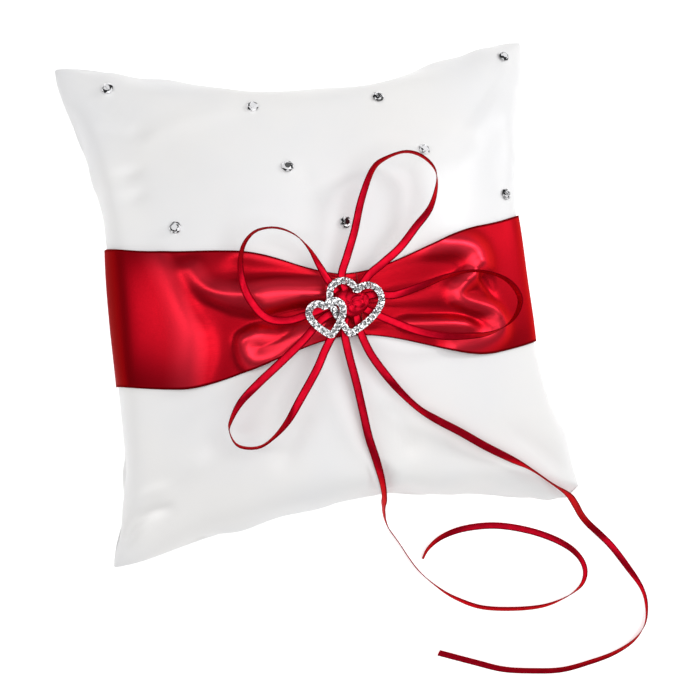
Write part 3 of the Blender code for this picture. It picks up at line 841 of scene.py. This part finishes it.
def pressed(points, clearance):
    """The points, moved into a smooth hollow wherever a ribbon lies on them."""
    middles, ways, outs = ribbon_lines()
    tree = KDTree(len(middles))
    for number, middle in enumerate(middles):
        tree.insert(middle, number)
    tree.balance()
    points = np.array(points, float)
    flat = points.reshape(-1, 3)
    found = [tree.find(point)[1:] for point in flat]
    nearest = np.array([number for number, _ in found])
    close = np.array([apart for _, apart in found]) < DENT_REACH
    off, out = flat - middles[nearest], outs[nearest]
    height = (off * out).sum(axis=1)
    aside = np.abs((off * np.cross(ways[nearest], out)).sum(axis=1))
    limit = DENT_SLOPE * np.maximum(aside - RIBBON_WIDTH / 2, 0) ** 2 - clearance
    flat = flat - out * (np.maximum(height - limit, 0) * close)[:, None]
    return flat.reshape(points.shape)


def cover_lines():
    """Shares at which the cover's lines of points lie, close together beside the seam."""
    rim = np.array(SEAM_ROWS)
    inner = np.arange(SEAM_ROWS[-1] + COVER_STEP, CLOTH_HALF, COVER_STEP)
    half = np.concatenate([rim, inner])
    return np.concatenate([half - CLOTH_HALF, [0.0], (CLOTH_HALF - half)[::-1]]) / CLOTH_HALF


def puckers(s, t):
    """Height of the small puckers beside the seam, which run in from it."""
    random = np.random.default_rng(SEED + 2)
    height = np.zeros(s.shape)
    for across, along in ((s, t), (t, s)):
        for sign in (-1, 1):
            inwards = (1 - across * sign) * CLOTH_HALF
            fade = np.exp(-inwards / PUCKER_REACH) * smoothstep(inwards / PUCKER_START)
            fade = fade * (1 - along**END_FADE)
            for waves in PUCKER_WAVES:
                phase, strength = random.uniform(0, 2 * math.pi), random.uniform(*PUCKER_SHARES)
                height += PUCKER_HEIGHT * strength * fade * np.sin(waves * along + phase)
    return height


def stroke_height(strokes, taper, x, y):
    """Height that strokes give to a place. Each follows a line and dies out at its ends."""
    height = np.zeros(x.shape)
    for rise, width, line in strokes:
        apart, at, length = distance_to(rounded(line), x, y)
        ends = smoothstep(at / taper) * smoothstep((length - at) / taper)
        height = height + rise * ends * np.exp(-((apart / width) ** 2))
    return height


def way_out(front, back, s, t):
    """Unit vectors out of the seam, between the ways out of the two panels."""
    outward = facing(front, s, t) - facing(back, s, t)
    return outward / np.linalg.norm(outward, axis=-1, keepdims=True)


def make_cover(front, back, material):
    lines = cover_lines()
    count = len(lines)
    s, t = np.meshgrid(lines, lines)
    faces_up, faces_down = sample(front, s, t), sample(back, s, t)
    beside_sash = smoothstep((np.abs(t - PRESSED_MIDDLE) - PRESSED_HALF) / CREASE_FADE)
    creases = stroke_height(COVER_CREASES, CREASE_TAPER, faces_up[..., 0], faces_up[..., 1])
    relief = (puckers(s, t) + creases) * beside_sash
    faces_up = faces_up + facing(front, s, t) * relief[..., None]
    faces_down = faces_down + facing(back, s, t) * puckers(t, s)[..., None]
    rim = np.pad(np.zeros((count - 2, count - 2), bool), 1, constant_values=True)
    faces_up[rim] -= way_out(front, back, s, t)[rim] * SEAM_GROOVE
    numbers = point_numbers(count, count)
    under = numbers.copy()
    under[1:-1, 1:-1] = point_numbers(count - 2, count - 2, first=count * count)
    points = pressed(np.concatenate([faces_up.reshape(-1, 3), faces_down[~rim]]), COVER_CLEARANCE)
    cover = make_object("satin_cover", points, grid_faces(numbers) + grid_faces(under, flip=True), material)
    attach(cover, "white_satin", "pillow_front_panel", "pillow_back_panel")
    return cover


def sew(name, points, radius, material, slot, node, closed=False):
    """A thread that runs through the points."""
    data = bpy.data.curves.new(name, "CURVE")
    data.dimensions = "3D"
    data.bevel_depth = radius * MM
    data.bevel_resolution = 2
    data.use_fill_caps = not closed
    spline = data.splines.new("POLY")
    spline.points.add(len(points) - 1)
    for place, point in zip(spline.points, points):
        place.co = (*(Vector(point) * MM), 1)
    spline.use_cyclic_u = closed
    data.materials.append(material)
    thread = bpy.data.objects.new(name, data)
    SCENE.collection.objects.link(thread)
    attach(thread, slot, node)


def seam_point(front, back, s, t, inset):
    """A point inset from the seam, between the panels."""
    s, t = np.float64(s), np.float64(t)
    return pressed(sample(front, s, t) - way_out(front, back, s, t) * inset, COVER_CLEARANCE)


def make_seam(front, back, material):
    # Side 0 is the bottom edge, which has the opening, and the sides run anticlockwise
    runs = [(side, -SEAM_THREAD_END, SEAM_THREAD_END) for side in (1, 2, 3)]
    runs = [(0, OPENING_SHARE, SEAM_THREAD_END), *runs, (0, -SEAM_THREAD_END, -OPENING_SHARE)]
    points = []
    for side, start, end in runs:
        for share in np.linspace(start, end, SEAM_THREAD_STEPS + 1):
            s, t = [(share, -1), (1, share), (-share, 1), (-1, -share)][side]
            points.append(seam_point(front, back, s, t, SEAM_THREAD_INSET))
    sew("seam_stitching", points, SEAM_THREAD_RADIUS, material, "white_thread", "seam_thread")

    points = []
    for i in range(CLOSING_STITCHES + 1):
        share = blend(-OPENING_SHARE, OPENING_SHARE, i / CLOSING_STITCHES)
        point = seam_point(front, back, share, -1, SEAM_THREAD_INSET / 2)
        point[2] += CLOSING_REACH / 2 * (-1) ** i
        points.append(point)
    sew("ladder_stitches", points, SEAM_THREAD_RADIUS, material, "white_thread", "closing_stitches")


def make_filling(front, back, material):
    """The fibre inside the cover, a clearance smaller than it."""
    lines = np.linspace(-FILLING_HALF, FILLING_HALF, FILLING_LINES)
    s, t = np.meshgrid(lines, lines)
    over = sample(front, s, t) - facing(front, s, t) * FILLING_INSET
    under = sample(back, s, t) + facing(back, s, t) * FILLING_INSET
    under[..., 2] = np.minimum(under[..., 2], over[..., 2] - FILLING_LEAST)
    top = point_numbers(FILLING_LINES, FILLING_LINES)
    bottom = top + top.size
    faces = grid_faces(top) + grid_faces(bottom, flip=True)
    rim = np.concatenate([top[0], top[1:, -1], top[-1, -2::-1], top[-2::-1, 0]])
    faces += grid_faces(np.stack([rim, rim + top.size]), flip=True)
    points = np.concatenate([over.reshape(-1, 3), under.reshape(-1, 3)])
    filling = make_object("polyester_stuffing", points, faces, material)
    attach(filling, "polyester_fibre", "fibre_filling")


# Sash


def sash_edges(x):
    """The lowest and highest y of the sash at x."""
    opened = smoothstep(np.abs(x - GATHER_X) / SASH_SPREAD)
    half = blend(SASH_GATHERED_HALF, SASH_OPEN_HALF, opened)
    half = half + (SASH_END_HALF - SASH_OPEN_HALF) * (np.abs(x) / HALF_SIDE) ** 3 * opened
    centre = SASH_CENTRE_Y + SASH_END_RISE * (x / (HALF_SIDE - EDGE_PULL)) ** 4
    bulge = SASH_BULGE * np.exp(-(((x - SASH_BULGE_X) / SASH_BULGE_REACH) ** 2))
    return centre - half, centre + half + bulge


def distance_to(line, x, y):
    """Distance to a line of points, and how far along it the nearest place is."""
    nearest, at = np.full(x.shape, 1e9), np.zeros(x.shape)
    travelled = 0.0
    for (x0, y0), (x1, y1) in zip(line, line[1:]):
        length = math.hypot(x1 - x0, y1 - y0)
        share = np.clip(((x - x0) * (x1 - x0) + (y - y0) * (y1 - y0)) / length**2, 0, 1)
        apart = np.hypot(x - x0 - share * (x1 - x0), y - y0 - share * (y1 - y0))
        closer = apart < nearest
        nearest = np.where(closer, apart, nearest)
        at = np.where(closer, travelled + share * length, at)
        travelled += length
    return nearest, at, travelled


def rounded(line, step=2.0):
    points, _ = smooth_route([(x, y, 0, 0) for x, y in line], step)
    return [(point.x, point.y) for point in points]


def fold_height(x, y, across):
    """How far the sash's folds stand off the pillow."""
    height = stroke_height(SASH_FOLDS, FOLD_TAPER, x, y)
    gathered = np.exp(-((np.abs(x - GATHER_X) / PLEAT_REACH) ** 2))
    sway = PLEAT_SWAY * np.sin(x / PLEAT_SWAY_LENGTH)
    pleats = np.abs(np.sin(across * PLEAT_COUNT * math.pi / 2 + sway))
    stand = SASH_LOFT * (1 - across**4) + height + PLEAT_HEIGHT * gathered * (pleats - 0.5)
    return SASH_LIFT + 0.5 * (stand + np.sqrt(stand**2 + FOLD_SOFTNESS))


def sash_shares(front, along, across):
    """Shares of the face under points of the sash. Along and across run from -1 to 1."""
    s = along * SASH_END
    t = np.full(s.shape, SASH_CENTRE_Y / HALF_SIDE)
    for _ in range(SEARCH_ROUNDS):
        point = sample(front, s, t)
        low, high = sash_edges(point[..., 0])
        wanted = blend(low, high, (across + 1) / 2)
        t = t + (wanted - point[..., 1]) / HALF_SIDE
    return s, t


def sash_points(front, along, across, lift=0.0):
    s, t = sash_shares(front, along, across)
    ground = sample(front, s, t)
    height = fold_height(ground[..., 0], ground[..., 1], across)
    height = blend(SASH_LIFT, height, 1 - along**END_FADE)
    up = facing(front, s, t, SASH_FACING_STEP)
    return pressed(ground + up * (height + lift)[..., None], SASH_CLEARANCE - lift)


def make_sash(front, material):
    along, across = np.meshgrid(np.linspace(-1, 1, SASH_COLUMNS + 1), np.linspace(-1, 1, SASH_ROWS + 1))
    points = sash_points(front, along, across)
    faces = grid_faces(point_numbers(SASH_ROWS + 1, SASH_COLUMNS + 1))
    folds = stroke_height(SASH_FOLDS, FOLD_TAPER, points[..., 0], points[..., 1])
    # The folds' heights also set where the sash's painted highlight and painted shading go
    values = {"across": across, "along": along, "fold": folds / FOLD_FULL}
    sash = make_object("gathered_sash", points.reshape(-1, 3), faces, material, **values)
    cloth = sash.modifiers.new("cloth", "SOLIDIFY")
    cloth.thickness = SASH_THICKNESS * MM
    cloth.offset = 1
    attach(sash, "red_satin", "sash_ribbon")


def make_gathering(front, material):
    """The thread that draws the sash together, run over and under it behind the knot."""
    along = np.full(GATHERING_POINTS, GATHERING_AT)
    across = np.linspace(-1, 1, GATHERING_POINTS)
    over = sash_points(front, along, across, GATHERING_OVER)
    under = sash_points(front, along, -across, GATHERING_UNDER)
    points = [*over, *under]
    sew("gathering_stitch", points, GATHERING_RADIUS, material, "red_thread", "gathering_thread", closed=True)


def make_knot(material):
    """The knot: a small puffed wrap of ribbon with creases that run round it."""
    points, along = [], []
    for rise, angle, unit in globe(*KNOT_GRID):
        wrap = abs(math.sin(KNOT_WRAPS * angle + KNOT_SWAY * math.sin(2 * rise)))
        crumple = abs(math.sin(KNOT_CRUMPLES * rise + KNOT_SWAY * math.cos(angle) + 1))
        crease = KNOT_HOLLOW + KNOT_CREASE * (wrap + crumple)
        points.append([KNOT_AT[i] + unit[i] * KNOT_RADII[i] * crease for i in range(3)])
        along.append(angle)
    faces = grid_faces(point_numbers(*KNOT_GRID, wrap=(0, 1)))
    across = np.zeros(len(points))
    knot = make_object("ribbon_knot", points, faces, material, across=across, along=along)
    attach(knot, "red_ribbon", "bow_knot")


# Brooch and stones


def heart_outline(size):
    """The closed middle line of a heart's band: arcs for the lobes, then curves to the tip."""
    angles = np.radians(np.linspace(HEART_CLEFT_ANGLE, HEART_FLANK_ANGLE, HEART_STEPS + 1))
    lobe = np.stack([np.cos(angles), np.sin(angles)], axis=1) * HEART_LOBE_RADIUS + (HEART_LOBE_X, 0)
    start, tip = lobe[-1], np.array([0.0, HEART_TIP_Y])
    bend = start + HEART_FLANK * np.array([math.sin(angles[-1]), -math.cos(angles[-1])])
    u = np.linspace(0, 1, HEART_STEPS + 1)[1:, None]
    half = np.concatenate([lobe, start * (1 - u) ** 2 + bend * 2 * u * (1 - u) + tip * u**2])
    return np.concatenate([half, half[-2::-1] * (-1, 1)]) * size


def evenly(outline, count):
    """Points and directions at equal distances along a closed line."""
    lengths = np.concatenate([[0], np.cumsum(np.linalg.norm(np.diff(outline, axis=0), axis=1))])

    def at(spots):
        return np.stack([np.interp(spots, lengths, outline[:, axis]) for axis in (0, 1)], axis=1)

    spots = (np.arange(count) + 0.5) / count * lengths[-1]
    places = at(spots)
    direction = at((spots + LINE_STEP) % lengths[-1]) - places
    return places, direction / np.linalg.norm(direction, axis=1, keepdims=True)


def heart_matrix(name):
    place, _, turn, tilt = HEARTS[name]
    return Matrix.Translation(place) @ Euler((0, math.radians(tilt), math.radians(turn))).to_matrix().to_4x4()


def cut_stone(centre, radius, random, first=0, painted_black_tables=0.0):
    """Points, faces and facet tones, which are painted reflections, of a round stone: table, crown facets and
    seat.
    """
    points, faces, tones = [], [], []
    turn = random.uniform(0, CUT_TURN)
    for spread, rise, shift in CUT_RINGS:
        for k in range(CUT_FACETS):
            angle = turn + (k + shift) / CUT_FACETS * 2 * math.pi
            out = Vector((spread * math.cos(angle), spread * math.sin(angle), rise))
            points.append(Vector(centre) + out * radius)
    for a, b, d, c in grid_faces(point_numbers(len(CUT_RINGS), CUT_FACETS, first, wrap=(0, 1))):
        faces += [(a, c, b), (b, c, d)]
        tones += [random.uniform(0, 1), random.uniform(0, 1)]
    faces.append(tuple(first + k for k in range(CUT_FACETS)))
    tones.append(random.uniform(0, 1))
    # Painted reflection: some tables are painted black
    if painted_black_tables and random.uniform(0, 1) < painted_black_tables:
        tones[-1] = 0.0
    return points, faces, tones


def make_faceted(name, points, faces, tones, crystal):
    """A mesh whose facets have points of their own, so that each can carry its tone of painted reflection."""
    own_points, own_faces, own_tones = [], [], []
    for face, tone in zip(faces, tones):
        own_faces.append(tuple(range(len(own_points), len(own_points) + len(face))))
        own_points += [points[i] for i in face]
        own_tones += [tone] * len(face)
    return make_object(name, own_points, own_faces, crystal, smooth=False, tone=own_tones)


def make_setting(name, outline, count, silver):
    """A heart's band, with a claw at each side between every two stones."""
    points = []
    for place, way in zip(*evenly(outline, BAND_STEPS * count)):
        for across, up in BAND_SECTION:
            points.append((place[0] + way[1] * across, place[1] - way[0] * across, up))
    faces = grid_faces(point_numbers(BAND_STEPS * count, len(BAND_SECTION), wrap=(1, 1)))
    pitch = np.linalg.norm(np.diff(outline, axis=0), axis=1).sum() / count
    for place, way in zip(*evenly(outline, count)):
        for side in (-1, 1):
            centre = Vector((
                place[0] + way[0] * pitch / 2 + way[1] * side * CLAW_OUT,
                place[1] + way[1] * pitch / 2 - way[0] * side * CLAW_OUT,
                CLAW_HEIGHT,
            ))
            faces += grid_faces(point_numbers(*CLAW_GRID, len(points), wrap=(0, 1)))
            points += [centre + unit * CLAW_RADIUS for _, _, unit in globe(*CLAW_GRID)]
    matrix = heart_matrix(name)
    placed = [matrix @ Vector(point) for point in points]
    setting = make_object(name + "_setting", placed, faces, silver)
    setting.data.set_sharp_from_angle(angle=math.radians(BAND_SHARP_ANGLE))
    attach(setting, "silver_metal", name + "_frame")


def make_hearts(silver, crystal):
    random = np.random.default_rng(SEED)
    for name, (_, size, _, _) in HEARTS.items():
        outline = heart_outline(size)
        count = round(np.linalg.norm(np.diff(outline, axis=0), axis=1).sum() / BROOCH_STONE_PITCH)
        make_setting(name, outline, count, silver)
        points, faces, tones = [], [], []
        for place in evenly(outline, count)[0]:
            centre = (*place, BROOCH_STONE_RISE)
            stone = cut_stone(centre, BROOCH_STONE_RADIUS, random, len(points), PAINTED_BLACK_TABLES)
            points += stone[0]
            faces += stone[1]
            tones += stone[2]
        matrix = heart_matrix(name)
        placed = [matrix @ point for point in points]
        stones = make_faceted(name + "_stones", placed, faces, tones, crystal)
        attach(stones, "clear_crystal")


def make_clasp_stitches(material):
    """The two threads that hold the brooch, each once over the large heart's band."""
    height = HEARTS["large_heart"][0][2]
    for name, (x, y) in CLASP_STITCHES.items():
        points = []
        for angle in np.radians(np.linspace(*CLASP_STITCH_ENDS, CLASP_STITCH_STEPS + 1)):
            beside, above = CLASP_STITCH_REACH * math.cos(angle), CLASP_STITCH_RISE * math.sin(angle)
            points.append((x, y + beside, height + above))
        sew(name + "_thread", points, CLASP_THREAD_RADIUS, material, "red_thread", name)


def make_rhinestones(front, crystal):
    random = np.random.default_rng(SEED + 1)
    for number, (x, y) in enumerate(STONE_PLACES, start=1):
        s, t = shares_at(front, np.float64(x), np.float64(y))
        ground, up = sample(front, s, t), facing(front, s, t)
        points, faces, tones = cut_stone((0, 0, STONE_SEAT), STONE_RADIUS, random)
        turn = Vector(up).to_track_quat("Z", "Y")
        placed = [Vector(ground) + turn @ point for point in points]
        stone = make_faceted(f"faceted_stone_{number}", placed, faces, tones, crystal)
        attach(stone, "clear_crystal", f"rhinestone_{number}")


make_camera()
make_studio()
make_floor()
narrow_satin = make_narrow_satin()
for routes, far_end in ((LOOP_ROUTES, "object"), (TAIL_ROUTES, "bare")):
    for ribbon_name, ribbon_route in routes.items():
        make_ribbon(ribbon_name, ribbon_route, narrow_satin)

front_grid, back_grid = stuffed_cover()
pillow_cover = make_cover(front_grid, back_grid, make_white_satin())
white_thread = make_thread("white_sewing_thread", WHITE_THREAD)
red_thread = make_thread("red_sewing_thread", RED_THREAD)
make_seam(front_grid, back_grid, white_thread)
make_filling(front_grid, back_grid, make_fibre())
make_sash(front_grid, make_wide_satin())
make_gathering(front_grid, red_thread)
make_knot(narrow_satin)
crystal_stones = make_crystal()
make_hearts(make_silver(), crystal_stones)
make_clasp_stitches(red_thread)
make_rhinestones(front_grid, crystal_stones)
